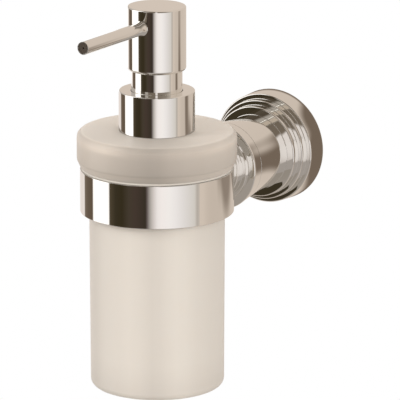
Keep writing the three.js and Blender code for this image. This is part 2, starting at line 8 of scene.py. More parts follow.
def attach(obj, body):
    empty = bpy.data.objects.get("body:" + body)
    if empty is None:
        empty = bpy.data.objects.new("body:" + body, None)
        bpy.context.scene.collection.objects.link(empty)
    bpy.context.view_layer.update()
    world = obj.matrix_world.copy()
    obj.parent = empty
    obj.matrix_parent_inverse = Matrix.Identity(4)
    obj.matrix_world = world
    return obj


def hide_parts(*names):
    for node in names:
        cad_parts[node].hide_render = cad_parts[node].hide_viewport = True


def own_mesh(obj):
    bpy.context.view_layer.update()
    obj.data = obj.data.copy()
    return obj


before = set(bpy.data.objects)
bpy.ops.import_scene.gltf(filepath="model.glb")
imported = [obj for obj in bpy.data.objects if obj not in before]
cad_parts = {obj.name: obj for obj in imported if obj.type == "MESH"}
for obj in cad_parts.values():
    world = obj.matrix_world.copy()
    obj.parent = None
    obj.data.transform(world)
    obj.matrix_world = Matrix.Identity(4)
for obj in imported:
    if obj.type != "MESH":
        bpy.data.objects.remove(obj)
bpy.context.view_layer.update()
print("frame loaded")

mm = 0.001
reach = 0.1005  # from the wall to the vessel's axis

camera = {
    "lens": 407.3,
    "sensor": 36,
    "clipEnd": 30,
    "place": (1.0388, -1.7259, 0.5014),
    "target": (0.01289, -0.08545, -0.00603),
}


def buildCamera():
    data = bpy.data.cameras.new("camera")
    data.lens = camera["lens"]
    data.sensor_width = camera["sensor"]
    data.clip_end = camera["clipEnd"]
    eye = bpy.data.objects.new("camera", data)
    eye.location = camera["place"]
    view = Vector(camera["target"]) - eye.location
    eye.rotation_euler = view.to_track_quat("-Z", "Y").to_euler()
    bpy.context.scene.collection.objects.link(eye)
    bpy.context.scene.camera = eye


light = {
    "ambient": 0.62,
    "tint": (1.0, 0.98, 0.955),
    "lamps": [
        # name, place, width, watts
        ("keyLamp", (-1.3, -1.9, 1.2), 1.3, 26.0),
        ("fillLamp", (1.9, -1.0, 0.7), 1.2, 14.0),
        ("topLamp", (0.2, 0.3, 2.4), 1.6, 9.0),
    ],
}


def buildWorld():
    world = bpy.data.worlds.new("studio")
    bpy.context.scene.world = world
    world.use_nodes = True
    nodes, links = world.node_tree.nodes, world.node_tree.links
    nodes.clear()
    ambient = nodes.new("ShaderNodeBackground")
    ambient.inputs["Color"].default_value = (*light["tint"], 1)
    ambient.inputs["Strength"].default_value = light["ambient"]
    white = nodes.new("ShaderNodeBackground")
    white.inputs["Color"].default_value = (1, 1, 1, 1)
    either = mixShaders(nodes, links, seenDirectly(nodes, links), ambient, white)
    links.new(either, nodes.new("ShaderNodeOutputWorld").inputs["Surface"])


def mixShaders(nodes, links, share, first, second):
    # first where share is 0, second where it is 1
    mix = nodes.new("ShaderNodeMixShader")
    for value, socket in zip((share, first.outputs[0], second.outputs[0]), mix.inputs):
        links.new(value, socket)
    return mix.outputs[0]


def seenDirectly(nodes, links):
    # 1 for what the camera, a reflection or a view through glass sees
    path = nodes.new("ShaderNodeLightPath")
    total = path.outputs["Is Camera Ray"]
    for name in ("Is Glossy Ray", "Is Transmission Ray"):
        larger = nodes.new("ShaderNodeMath")
        larger.operation = "MAXIMUM"
        links.new(total, larger.inputs[0])
        links.new(path.outputs[name], larger.inputs[1])
        total = larger.outputs[0]
    return total


def buildLamps():
    for name, place, width, watts in light["lamps"]:
        data = bpy.data.lights.new(name, "AREA")
        data.shape = "DISK"
        data.size = width
        data.energy = watts
        data.color = light["tint"]
        lamp = bpy.data.objects.new(name, data)
        lamp.location = place
        aim = Vector((0, -reach, 0)) - lamp.location
        lamp.rotation_euler = aim.to_track_quat("-Z", "Y").to_euler()
        lamp.visible_glossy = False
        bpy.context.scene.collection.objects.link(lamp)


def meshObject(name, mesh):
    data = bpy.data.meshes.new(name)
    mesh.to_mesh(data)
    mesh.free()
    made = bpy.data.objects.new(name, data)
    bpy.context.scene.collection.objects.link(made)
    return made


floor = {"size": 14.0, "height": -2.2, "colour": (0.86, 0.84, 0.81), "roughness": 0.8}


def buildFloor():
    mesh = bmesh.new()
    bmesh.ops.create_grid(mesh, x_segments=1, y_segments=1, size=floor["size"] / 2)
    bmesh.ops.translate(mesh, verts=mesh.verts, vec=(0, 0, floor["height"]))
    plane = meshObject("floor", mesh)
    material = bpy.data.materials.new("paleFloor")
    material.use_nodes = True
    nodes, links = material.node_tree.nodes, material.node_tree.links
    surface = nodes["Principled BSDF"]
    surface.inputs["Base Color"].default_value = (*floor["colour"], 1)
    surface.inputs["Roughness"].default_value = floor["roughness"]
    white = nodes.new("ShaderNodeEmission")
    either = mixShaders(nodes, links, seenDirectly(nodes, links), surface, white)
    links.new(either, nodes["Material Output"].inputs["Surface"])
    plane.data.materials.append(material)


def arithmetic(nodes, links, kind, first, second):
    node = nodes.new("ShaderNodeMath")
    node.operation = kind
    for socket, value in zip(node.inputs, (first, second)):
        if isinstance(value, (int, float)):
            socket.default_value = value
        else:
            links.new(value, socket)
    return node.outputs[0]


def farness(nodes, links, first, second):
    # how far a point is from the middle, by its distances along two axes
    squares = [arithmetic(nodes, links, "MULTIPLY", value, value) for value in (first, second)]
    return arithmetic(nodes, links, "SQRT", arithmetic(nodes, links, "ADD", *squares), 0)


def objectPlace(nodes, links):
    coords = nodes.new("ShaderNodeTexCoord")
    split = nodes.new("ShaderNodeSeparateXYZ")
    links.new(coords.outputs["Object"], split.inputs[0])
    return split


def blend(nodes, links, share, first, second):
    # first where share is 0, second where it is 1; a colour Mix node's sockets are 6, 7 and output 2
    node = nodes.new("ShaderNodeMix")
    node.data_type = "RGBA"
    links.new(share, node.inputs[0])
    for socket, value in ((node.inputs[6], first), (node.inputs[7], second)):
        if isinstance(value, tuple):
            socket.default_value = (*value, 1)
        else:
            links.new(value, socket)
    return node.outputs[2]


def multiplied(nodes, links, first, second):
    node = nodes.new("ShaderNodeVectorMath")
    node.operation = "MULTIPLY"
    links.new(first, node.inputs[0])
    links.new(second, node.inputs[1])
    return node.outputs[0]


def rampAt(nodes, links, value, low, high):
    node = nodes.new("ShaderNodeMapRange")
    node.interpolation_type = "SMOOTHSTEP"
    node.inputs["From Min"].default_value = low
    node.inputs["From Max"].default_value = high
    links.new(value, node.inputs["Value"])
    return node.outputs[0]


def toneRamp(nodes, links, share, tones, brightest, low=-180, high=180):
    # tones are (place, colour), with places from low to high, as shares of the brightest
    node = nodes.new("ShaderNodeValToRGB")
    stops = node.color_ramp.elements
    for stop, (at, tone) in zip(stops, (tones[0], tones[-1])):
        stop.position = (at - low) / (high - low)
        stop.color = (*[v / brightest for v in tone], 1)
    for at, tone in tones[1:-1]:
        stops.new((at - low) / (high - low)).color = (*[v / brightest for v in tone], 1)
    links.new(share, node.inputs[0])
    return node.outputs[0]


def glowMaterial(name):
    material = bpy.data.materials.new(name)
    material.use_nodes = True
    nodes, links = material.node_tree.nodes, material.node_tree.links
    nodes.clear()
    return material, nodes, links, nodes.new("ShaderNodeEmission")


def clearFromBehind(nodes, links, glow):
    clear = nodes.new("ShaderNodeBsdfTransparent")
    behind = nodes.new("ShaderNodeNewGeometry").outputs["Backfacing"]
    either = mixShaders(nodes, links, behind, glow, clear)
    links.new(either, nodes.new("ShaderNodeOutputMaterial").inputs["Surface"])


def oneSidedGlow(name, tone):
    material, nodes, links, glow = glowMaterial(name)
    glow.inputs["Color"].default_value = (*tone, 1)
    clearFromBehind(nodes, links, glow)
    return material


def turnFaces(mesh, direction):
    for face in mesh.faces:
        face.normal_update()
        if face.normal.dot(direction) < 0:
            face.normal_flip()


def seenInMetal(card, material):
    card.data.materials.append(material)
    card.visible_camera = card.visible_diffuse = card.visible_shadow = False
    card.visible_transmission = False


def turnAndRise(nodes, links, place):
    # the turn as a share of a full one, and the height over the distance from the vessel's column
    ahead = arithmetic(nodes, links, "SUBTRACT", -reach, place.outputs["Y"])
    turn = arithmetic(nodes, links, "ARCTAN2", place.outputs["X"], ahead)
    share = arithmetic(nodes, links, "ADD", arithmetic(nodes, links, "DIVIDE", turn, math.tau), 0.5)
    across = farness(nodes, links, place.outputs["X"], ahead)
    return share, arithmetic(nodes, links, "DIVIDE", place.outputs["Z"], across)


# A closed drum round the object, which only the polished metal sees. Turns are degrees from the front (-Y)
# towards the right (+X), each with the brightness there. Rises are height over distance.
screens = {
    "radius": 3.0,
    "low": -2.15,
    "high": 2.6,
    "steps": 96,
    "merge": 1e-5,
    "middle": [
        (-180, (1.24, 1.22, 1.22)),
        (-122, (1.24, 1.22, 1.22)),
        (-119, (0.90, 0.83, 0.79)),
        (-107, (0.88, 0.80, 0.76)),
        (-104.5, (0.20, 0.155, 0.115)),
        (-94, (0.15, 0.11, 0.08)),
        (-80, (0.13, 0.095, 0.065)),
        (-77, (1.38, 1.34, 1.31)),
        (-45, (1.38, 1.34, 1.31)),
        (-42.5, (0.085, 0.065, 0.04)),
        (-32, (0.045, 0.035, 0.02)),
        (-21, (0.04, 0.03, 0.015)),
        (-10, (0.065, 0.05, 0.035)),
        (0, (0.065, 0.045, 0.035)),
        (15.5, (0.045, 0.035, 0.025)),
        (18, (0.14, 0.11, 0.105)),
        (21, (0.36, 0.33, 0.31)),
        (24, (0.55, 0.51, 0.48)),
        (28, (0.75, 0.69, 0.67)),
        (33, (0.94, 0.89, 0.88)),
        (39, (1.01, 0.95, 0.94)),
        (50, (1.01, 0.97, 0.96)),
        (60, (0.95, 0.91, 0.91)),
        (72, (0.85, 0.81, 0.80)),
        (90, (0.72, 0.68, 0.64)),
        (92, (0.66, 0.61, 0.56)),
        (94.5, (0.50, 0.45, 0.41)),
        (96.5, (0.57, 0.51, 0.46)),
        (180, (0.61, 0.55, 0.47)),
    ],
    "upper": [
        (-180, (0.55, 0.50, 0.46)),
        (-81, (0.55, 0.50, 0.46)),
        (-77, (1.7, 1.66, 1.62)),
        (-47, (1.7, 1.66, 1.62)),
        (-43, (0.12, 0.10, 0.075)),
        (-24, (0.09, 0.07, 0.05)),
        (-19, (0.48, 0.44, 0.40)),
        (-9, (0.48, 0.44, 0.40)),
        (-5, (0.20, 0.165, 0.13)),
        (25, (0.21, 0.17, 0.135)),
        (28, (0.93, 0.87, 0.86)),
        (35, (0.95, 0.89, 0.88)),
        (37, (0.24, 0.20, 0.165)),
        (75, (0.30, 0.26, 0.22)),
        (95, (0.52, 0.47, 0.42)),
        (180, (0.60, 0.54, 0.49)),
    ],
    "lower": [
        (-180, (0.60, 0.55, 0.50)),
        (-47, (0.52, 0.47, 0.42)),
        (-40, (0.12, 0.095, 0.075)),
        (-12, (0.12, 0.095, 0.075)),
        (-2, (0.44, 0.40, 0.38)),
        (30, (0.46, 0.42, 0.40)),
        (180, (0.46, 0.41, 0.38)),
    ],
    # straight up and straight down, and the rises between which each band gives way to the next
    "overhead": (0.16, 0.13, 0.105),
    "underfoot": (0.42, 0.375, 0.33),
    "upperFrom": (0.12, 0.17),
    "overheadFrom": (1.5, 2.2),
    "lowerFrom": (0.38, 0.43),
    "underfootFrom": (1.0, 1.6),
}


def buildScreens():
    mesh = bmesh.new()
    corners = [(0, "high"), (screens["radius"], "high"), (screens["radius"], "low"), (0, "low")]
    verts = [mesh.verts.new((0, -radius - reach, screens[height])) for radius, height in corners]
    edges = [mesh.edges.new(pair) for pair in zip(verts, verts[1:])]
    bmesh.ops.spin(
        mesh, geom=verts + edges, cent=(0, -reach, 0), axis=(0, 0, 1), angle=math.tau,
        steps=screens["steps"], use_merge=True,
    )
    bmesh.ops.remove_doubles(mesh, verts=mesh.verts, dist=screens["merge"])
    material, nodes, links, glow = glowMaterial("screenTones")
    share, rise = turnAndRise(nodes, links, objectPlace(nodes, links))
    drop = arithmetic(nodes, links, "MULTIPLY", rise, -1)
    brightest = max(max(tone) for band in ("middle", "upper", "lower") for _, tone in screens[band])
    middle, upper, lower = (
        toneRamp(nodes, links, share, screens[band], brightest) for band in ("middle", "upper", "lower")
    )
    overhead, underfoot = (tuple(v / brightest for v in screens[band]) for band in ("overhead", "underfoot"))
    tone = blend(nodes, links, rampAt(nodes, links, rise, *screens["upperFrom"]), middle, upper)
    tone = blend(nodes, links, rampAt(nodes, links, rise, *screens["overheadFrom"]), tone, overhead)
    tone = blend(nodes, links, rampAt(nodes, links, drop, *screens["lowerFrom"]), tone, lower)
    tone = blend(nodes, links, rampAt(nodes, links, drop, *screens["underfootFrom"]), tone, underfoot)
    links.new(tone, glow.inputs["Color"])
    glow.inputs["Strength"].default_value = brightest
    links.new(glow.outputs[0], nodes.new("ShaderNodeOutputMaterial").inputs["Surface"])
    seenInMetal(meshObject("screens", mesh), material)


# The wall that the metal sees behind the object: a glowing card, with the soft shadows that the object throws
# on it painted in
backWall = {
    "offWall": 0.0004,
    "left": -0.092,
    "right": 0.75,
    "side": [(-0.092, 0.020), (-0.30, -0.029)],  # top corners of the slanted piece on the left
    "sideTone": (0.86, 0.78, 0.735),
    "low": -1.2,
    "high": 1.6,
    "tone": (0.705, 0.608, 0.528),
    "shadowTone": (0.191, 0.145, 0.110),
    "shadows": [
        # centre across, centre up, half width, half height, softness, depth
        (0.0, 0.0, 0.0264, 0.0264, 0.02, 1.0),
        (0.0085, -0.0015, 0.0280, 0.0205, 0.12, 1.0),
        (0.0192, 0.0095, 0.0102, 0.0135, 0.22, 1.0),
        (0.075, -0.014, 0.036, 0.020, 0.40, 0.75),
        (0.124, 0.006, 0.030, 0.030, 0.60, 0.90),
        (0.128, 0.045, 0.026, 0.030, 0.65, 0.55),
        (0.16, -0.06, 0.16, 0.12, 0.95, 0.16),
    ],
}


def buildBackWall():
    mesh = bmesh.new()
    low = mesh.verts.new((backWall["left"], 0, backWall["low"]))
    high = mesh.verts.new((backWall["left"], 0, backWall["high"]))
    edge = mesh.edges.new((low, high))
    swept = bmesh.ops.extrude_edge_only(mesh, edges=[edge])["geom"]
    moved = [part for part in swept if isinstance(part, bmesh.types.BMVert)]
    bmesh.ops.translate(mesh, verts=moved, vec=(backWall["right"] - backWall["left"], 0, 0))
    corners = backWall["side"] + [(across, backWall["low"]) for across, _ in reversed(backWall["side"])]
    bmesh.ops.contextual_create(mesh, geom=[mesh.verts.new((across, 0, up)) for across, up in corners])
    turnFaces(mesh, (0, -1, 0))
    bmesh.ops.translate(mesh, verts=mesh.verts, vec=(0, -backWall["offWall"], 0))

    material, nodes, links, glow = glowMaterial("backWallTones")
    place = objectPlace(nodes, links)
    # painted shadows: each ellipse darkens the glowing wall towards the shadow tone
    lit = None
    for across, up, halfWidth, halfHeight, softness, depth in backWall["shadows"]:
        side = arithmetic(nodes, links, "SUBTRACT", place.outputs["X"], across)
        side = arithmetic(nodes, links, "DIVIDE", side, halfWidth)
        rise = arithmetic(nodes, links, "SUBTRACT", place.outputs["Z"], up)
        rise = arithmetic(nodes, links, "DIVIDE", rise, halfHeight)
        outside = rampAt(nodes, links, farness(nodes, links, side, rise), 1 - softness, 1 + softness)
        bright = arithmetic(nodes, links, "MULTIPLY", outside, depth)
        bright = arithmetic(nodes, links, "ADD", bright, 1 - depth)
        lit = bright if lit is None else arithmetic(nodes, links, "MULTIPLY", lit, bright)
    tone = blend(nodes, links, lit, backWall["shadowTone"], backWall["tone"])
    beside = arithmetic(nodes, links, "LESS_THAN", place.outputs["X"], backWall["left"])
    links.new(blend(nodes, links, beside, tone, backWall["sideTone"]), glow.inputs["Color"])
    clearFromBehind(nodes, links, glow)
    seenInMetal(meshObject("backWall", mesh), material)


# What the metal sees of the vessel: a plain cup just inside the glass, clear from within, and a disc for its
# top, as radius and height in millimetres, glowing with a painted reflection of the vessel. The glass itself
# isn't mirrored.
vesselCard = {
    "corners": [(0, -88.0), (29.0, -88.0), (29.8, 11.6), (35.1, 11.6), (35.1, 27.0)],
    "disc": (35.0, 22.3),
    # painted reflection: the glow tones of the cup's side and of the top disc
    "side": (0.37, 0.33, 0.295),
    "top": (0.34, 0.30, 0.26),
}


def buildVesselCard():
    mesh = turnPiece(vesselCard["corners"], steps=turning["smallSteps"], closed=False)
    seenInMetal(meshObject("vesselCard", mesh), oneSidedGlow("vesselSideTone", vesselCard["side"]))
    radius, level = vesselCard["disc"]
    mesh = bmesh.new()
    bmesh.ops.create_circle(mesh, cap_ends=True, segments=turning["smallSteps"], radius=radius * mm)
    bmesh.ops.translate(mesh, verts=mesh.verts, vec=(0, -reach, level * mm))
    turnFaces(mesh, (0, 0, 1))
    seenInMetal(meshObject("vesselTopCard", mesh), oneSidedGlow("vesselTopTone", vesselCard["top"]))


# How every turned piece is made: the faces round it, and round a small or hidden one, the segments of a
# rounding, and the angle in degrees past which an edge stays sharp
turning = {
    "steps": 240, "smallSteps": 96, "merge": 1e-7, "bevelSegments": 6, "ringTolerance": 0.01, "sharp": 32,
    "normalWeight": 100,
}


def turnPiece(corners, line="column", steps=None, closed=True):
    # Corners are (radius, along, rounding), where along is the height on the vessel's column, or the distance
    # from the wall on the arm. Each corner's ring is bevelled by its rounding, the largest first.
    column = line == "column"
    mesh = bmesh.new()
    verts = []
    for radius, along, *_ in corners:
        place = (radius * mm, -reach, along * mm) if column else (radius * mm, -along * mm, 0)
        verts.append(mesh.verts.new(place))
    pairs = list(zip(verts, verts[1:]))
    if closed:
        pairs.append((verts[-1], verts[0]))
    edges = [mesh.edges.new(pair) for pair in pairs]
    centre = (0, -reach, 0) if column else (0, 0, 0)
    axis = (0, 0, 1) if column else (0, 1, 0)
    bmesh.ops.spin(
        mesh, geom=verts + edges, cent=centre, axis=axis, angle=math.tau,
        steps=steps or turning["steps"], use_merge=True,
    )
    bmesh.ops.remove_doubles(mesh, verts=mesh.verts, dist=turning["merge"])
    bmesh.ops.recalc_face_normals(mesh, faces=mesh.faces)
    for rounding in sorted({corner[2] for corner in corners if len(corner) > 2}, reverse=True):
        rings = [corner[:2] for corner in corners if len(corner) > 2 and corner[2] == rounding]
        bmesh.ops.bevel(
            mesh, geom=ringEdges(mesh, rings, column), offset=rounding * mm, offset_type="OFFSET",
            segments=turning["bevelSegments"], profile=0.5, affect="EDGES", material=-1,
        )
    return mesh


def radiusAlong(point, column):
    if column:
        return math.hypot(point.x, point.y + reach) / mm, point.z / mm
    return math.hypot(point.x, point.z) / mm, -point.y / mm


def ringEdges(mesh, rings, column):
    found = []
    for edge in mesh.edges:
        ends = [radiusAlong(vert.co, column) for vert in edge.verts]
        for ring in rings:
            if all(math.dist(end, ring) < turning["ringTolerance"] for end in ends):
                found.append(edge)
    return found


def finishPiece(name, mesh, body, slot, material, *nodes):
    for face in mesh.faces:
        face.smooth = True
    piece = meshObject(name, mesh)
    piece.data.set_sharp_from_angle(angle=math.radians(turning["sharp"]))
    weighted = piece.modifiers.new("weightedNormal", "WEIGHTED_NORMAL")
    weighted.keep_sharp = True
    weighted.weight = turning["normalWeight"]
    piece.data.materials.append(material)
    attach(piece, body)
    if nodes:
        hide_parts(*nodes)
    return piece


def curvePoints(start, end, count, radiusAt):
    # corners along a flare between two distances
    places = [start + (end - start) * i / count for i in range(count + 1)]
    return [(radiusAt(along), along) for along in places]


def newMaterial(name, colour, roughness, metallic=0.0):
    material = bpy.data.materials.new(name)
    material.use_nodes = True
    material.diffuse_color = (*colour, 1)
    shader = material.node_tree.nodes["Principled BSDF"]
    shader.inputs["Base Color"].default_value = (*colour, 1)
    shader.inputs["Roughness"].default_value = roughness
    shader.inputs["Metallic"].default_value = metallic
    return material, material.node_tree.nodes, material.node_tree.links, shader


def noise(nodes, links, scale, detail=3.0, stretch=None):
    coords = nodes.new("ShaderNodeTexCoord")
    texture = nodes.new("ShaderNodeTexNoise")
    texture.inputs["Scale"].default_value = scale
    texture.inputs["Detail"].default_value = detail
    place = coords.outputs["Object"]
    if stretch:
        mapping = nodes.new("ShaderNodeMapping")
        mapping.inputs["Scale"].default_value = stretch
        links.new(place, mapping.inputs["Vector"])
        place = mapping.outputs["Vector"]
    links.new(place, texture.inputs["Vector"])
    return texture.outputs["Fac"]


noiseRange = (0.3, 0.7)  # where nearly all of a noise texture's values lie


def uneven(nodes, links, value, shader, roughness, smoother, rougher):
    # the roughness drifts with a noise between its limits
    remap = nodes.new("ShaderNodeMapRange")
    remap.inputs["From Min"].default_value, remap.inputs["From Max"].default_value = noiseRange
    remap.inputs["To Min"].default_value = roughness - smoother
    remap.inputs["To Max"].default_value = roughness + rougher
    links.new(value, remap.inputs["Value"])
    links.new(remap.outputs[0], shader.inputs["Roughness"])


def bump(nodes, links, height, shader, strength, depth):
    node = nodes.new("ShaderNodeBump")
    node.inputs["Strength"].default_value = strength
    node.inputs["Distance"].default_value = depth
    links.new(height, node.inputs["Height"])
    links.new(node.outputs[0], shader.inputs["Normal"])


def tinted(nodes, links, value, colour, shader, amount):
    # a slight drift of the colour over the surface
    mix = nodes.new("ShaderNodeMix")
    mix.data_type = "RGBA"
    mix.inputs[6].default_value = (*[c * (1 - amount) for c in colour], 1)
    mix.inputs[7].default_value = (*[min(1, c * (1 + amount)) for c in colour], 1)
    links.new(value, mix.inputs[0])
    links.new(mix.outputs[2], shader.inputs["Base Color"])


nickelLook = {
    "colour": (0.86, 0.85, 0.82), "roughness": 0.018, "wear": 0.02, "wearScale": 160, "drift": 0.015,
    "driftScale": 22,
}


def makeNickel():
    look = nickelLook
    material, nodes, links, shader = newMaterial("polishedNickel", look["colour"], look["roughness"], 1.0)
    wear = noise(nodes, links, look["wearScale"])
    uneven(nodes, links, wear, shader, look["roughness"], 0, look["wear"])
    tinted(nodes, links, noise(nodes, links, look["driftScale"]), look["colour"], shader, look["drift"])
    return material


steelLook = {
    "colour": (0.70, 0.69, 0.67), "roughness": 0.28, "smoother": 0.08, "rougher": 0.1, "grainScale": 900,
    "grainStretch": (1, 1, 0.06), "bump": 0.12, "bumpDepth": 0.00004,
}


def makeSteel():
    look = steelLook
    material, nodes, links, shader = newMaterial("plainSteel", look["colour"], look["roughness"], 1.0)
    grain = noise(nodes, links, look["grainScale"], 2.0, look["grainStretch"])
    uneven(nodes, links, grain, shader, look["roughness"], look["smoother"], look["rougher"])
    bump(nodes, links, grain, shader, look["bump"], look["bumpDepth"])
    return material


glassLook = {
    "body": (0.80, 0.74, 0.672),
    "side": (0.655, 0.583, 0.512),
    # the flange's top is painted lighter than its side, as light falls on it from above
    "top": (0.72, 0.655, 0.585),
    # painted light and shade in soft vertical bands round the body: a turn from the front and the brightness
    # painted there
    "bodyPaintedLightAndShade": [
        (-180, 0.93), (-70, 0.88), (-38, 0.88), (-17, 0.94), (-3, 0.98), (8, 1.02), (17, 1.0), (28, 0.94),
        (35, 0.97), (41, 1.03), (49, 1.09), (57, 1.09), (69, 1.02), (84, 0.975), (180, 0.95),
    ],
    # painted shade on the flange's side, darkest towards the front, by the turn from the front
    "flangeSidePaintedShade": [
        (-180, 0.98), (-33, 0.96), (-21, 0.96), (-8, 0.91), (3, 0.83), (15, 0.76), (27, 0.69), (34, 0.71),
        (41, 0.79), (53, 0.88), (65, 0.92), (88, 0.98), (180, 1.0),
    ],
    # heights are in millimetres, and each pair is where one part's tones give way to the next
    "baseTo": (-88.2, -87.0),
    "flangeFrom": (11.2, 11.5),
    # painted shade: the body darker towards its foot, by height
    "bodyPaintedShadeByHeight": [(-88.4, 0.90), (-84.0, 0.915), (-79.0, 0.96), (-72.0, 1.0), (11.4, 1.0)],
    # painted light and shade on the flange by height: shade low on the side, a painted highlight band below
    # the top rounding, shade on the rounding
    "flangePaintedLightAndShadeByHeight": [
        (11.4, 1.01), (13.9, 1.00), (14.6, 0.87), (15.3, 0.91), (18.5, 0.96), (21.5, 1.0), (23.7, 1.09),
        (24.7, 1.10), (25.5, 1.0), (26.7, 0.89), (27.2, 0.93), (27.4, 1.0),
    ],
    # a painted highlight on the flange's rim, brightest at the front left
    "rimPaintedHighlight": [
        (-180, 1.0), (-34, 1.0), (-20, 1.08), (-8, 1.14), (2, 1.11), (12, 1.0), (30, 1.0), (60, 1.0),
        (84, 1.06), (110, 1.02), (180, 1.0),
    ],
    "rimHighlightFrom": (22.4, 24.0),
    # painted light and shade on the flange's top: darkest in front of the collar, lighter towards the back
    "topPaintedLightAndShade": [
        (-180, 1.10), (-92, 1.10), (-70, 1.03), (-25, 0.98), (0, 1.01), (12, 0.93), (24, 0.82), (40, 0.85),
        (55, 0.90), (80, 1.0), (103, 1.04), (116, 1.12), (180, 1.12),
    ],
    "topFrom": (26.9, 27.38),
    "ior": 1.5,
    "scatter": 0.35,
    "scatterRadius": (0.006, 0.0055, 0.005),
    "roughness": 0.42,
    "smoother": 0.04,
    "rougher": 0.06,
    "etchScale": 2600,
    "bump": 0.12,
    "bumpDepth": 0.00005,
}


def makeGlass():
    look = glassLook
    material, nodes, links, shader = newMaterial("frostedGlass", look["body"], look["roughness"])
    place = objectPlace(nodes, links)
    share, _ = turnAndRise(nodes, links, place)

    def toned(colour, tones):
        tones = [(turn, [part * tone for part in colour]) for turn, tone in tones]
        return toneRamp(nodes, links, share, tones, 1.0)

    def byHeight(colour, heights):
        low, high = heights[0][0], heights[-1][0]
        climb = arithmetic(nodes, links, "SUBTRACT", place.outputs["Z"], low * mm)
        climb = arithmetic(nodes, links, "DIVIDE", climb, (high - low) * mm)
        shade = toneRamp(nodes, links, climb, [(z, [part] * 3) for z, part in heights], 1.0, low, high)
        return multiplied(nodes, links, colour, shade)

    def above(limits):
        return rampAt(nodes, links, place.outputs["Z"], *[height * mm for height in limits])

    # the flange's colour carries painted shade by turn and painted light and shade by height
    flange = byHeight(toned(look["side"], look["flangeSidePaintedShade"]), look["flangePaintedLightAndShadeByHeight"])
    # a painted highlight on the rim, brightest at the front left
    rim = multiplied(nodes, links, flange, toned((1, 1, 1), look["rimPaintedHighlight"]))
    flange = blend(nodes, links, above(look["rimHighlightFrom"]), flange, rim)
    # the flange's top takes its lighter colour, with painted light and shade by turn
    flange = blend(nodes, links, above(look["topFrom"]), flange, toned(look["top"], look["topPaintedLightAndShade"]))
    # the body's colour carries painted light and shade by turn, and painted shade towards its foot
    body = byHeight(toned(look["body"], look["bodyPaintedLightAndShade"]), look["bodyPaintedShadeByHeight"])
    # the bottom face takes the darkest painted shade of the foot
    base = tuple(part * look["bodyPaintedShadeByHeight"][0][1] for part in look["body"])
    body = blend(nodes, links, above(look["baseTo"]), base, body)
    links.new(blend(nodes, links, above(look["flangeFrom"]), body, flange), shader.inputs["Base Color"])
    shader.inputs["IOR"].default_value = look["ior"]
    shader.inputs["Subsurface Weight"].default_value = look["scatter"]
    shader.inputs["Subsurface Radius"].default_value = look["scatterRadius"]
    shader.inputs["Subsurface Scale"].default_value = 1.0
    etch = noise(nodes, links, look["etchScale"], 2.0)
    uneven(nodes, links, etch, shader, look["roughness"], look["smoother"], look["rougher"])
    bump(nodes, links, etch, shader, look["bump"], look["bumpDepth"])
    return material


plasticLook = {
    "colour": (0.80, 0.75, 0.68), "scatter": 0.4, "scatterRadius": (0.003, 0.003, 0.0028), "roughness": 0.34,
    "smoother": 0.05, "rougher": 0.08, "flowScale": 55, "drift": 0.03,
}


def makePlastic():
    look = plasticLook
    material, nodes, links, shader = newMaterial("naturalPlastic", look["colour"], look["roughness"])
    shader.inputs["Subsurface Weight"].default_value = look["scatter"]
    shader.inputs["Subsurface Radius"].default_value = look["scatterRadius"]
    flow = noise(nodes, links, look["flowScale"], 2.0)
    uneven(nodes, links, flow, shader, look["roughness"], look["smoother"], look["rougher"])
    tinted(nodes, links, flow, look["colour"], shader, look["drift"])
    return material


sealLook = {
    "colour": (0.74, 0.72, 0.68), "roughness": 0.7, "grainScale": 1200, "drift": 0.04, "bump": 0.2,
    "bumpDepth": 0.00004,
}


def makeSeal():
    look = sealLook
    material, nodes, links, shader = newMaterial("softSeal", look["colour"], look["roughness"])
    grain = noise(nodes, links, look["grainScale"])
    tinted(nodes, links, grain, look["colour"], shader, look["drift"])
    bump(nodes, links, grain, shader, look["bump"], look["bumpDepth"])
    return material


darkLook = {
    "colour": (0.066, 0.050, 0.036), "roughness": 0.6, "smoother": 0.1, "rougher": 0.1, "grainScale": 1500,
    "bump": 0.2, "bumpDepth": 0.00003,
}


def makeDark():
    look = darkLook
    material, nodes, links, shader = newMaterial("darkPlastic", look["colour"], look["roughness"])
    grain = noise(nodes, links, look["grainScale"])
    uneven(nodes, links, grain, shader, look["roughness"], look["smoother"], look["rougher"])
    bump(nodes, links, grain, shader, look["bump"], look["bumpDepth"])
    return material


# From here on, shapes are in millimetres: radii, distances from the wall along the arm, and heights on the
# vessel's column with 0 at the middle of the arm.
rosetteShape = {
    "foot": 25.7, "rim": 25.25, "footEdge": 0.25, "steps": [(23.0, 10.2), (20.9, 14.1)], "front": 18.0,
    "edge": 0.62, "fillet": 0.22, "wall": 2.2, "cavity": 22.65, "coreWall": 2.6, "hole": 3.25,
}


def buildRosette(nickel):
    shape, edge, fillet = rosetteShape, rosetteShape["edge"], rosetteShape["fillet"]
    (outer, low), (inner, middle) = shape["steps"]
    front, wall, core = shape["front"], shape["wall"], inner - shape["coreWall"]
    corners = [
        (shape["cavity"], 0), (shape["foot"], 0, shape["footEdge"]), (shape["rim"], low, edge),
        (outer, low, fillet), (outer, middle, edge), (inner, middle, fillet), (inner, front, edge),
        (shape["hole"], front), (shape["hole"], front - wall), (core, front - wall), (core, low - wall),
        (shape["cavity"], low - wall),
    ]
    finishPiece("rosette", turnPiece(corners, "arm"), "holder", "nickel", nickel, "rosette_cover")


armShape = {
    "radius": 17.2, "hole": 3.25, "start": 18.02, "fillet": 0.2, "filletSteps": 5, "flareStart": 20.0,
    "flareSteps": 24, "lip": 50.0, "lipRadius": 19.9, "lipEdge": 0.75, "seam": 42.7, "seamGap": 0.14,
    "seamEdge": 0.06,
}


def flareRadius(along):
    shape = armShape
    share = max(0.0, (along - shape["flareStart"]) / (shape["lip"] - shape["flareStart"]))
    return shape["radius"] + (shape["lipRadius"] - shape["radius"]) * share ** 2


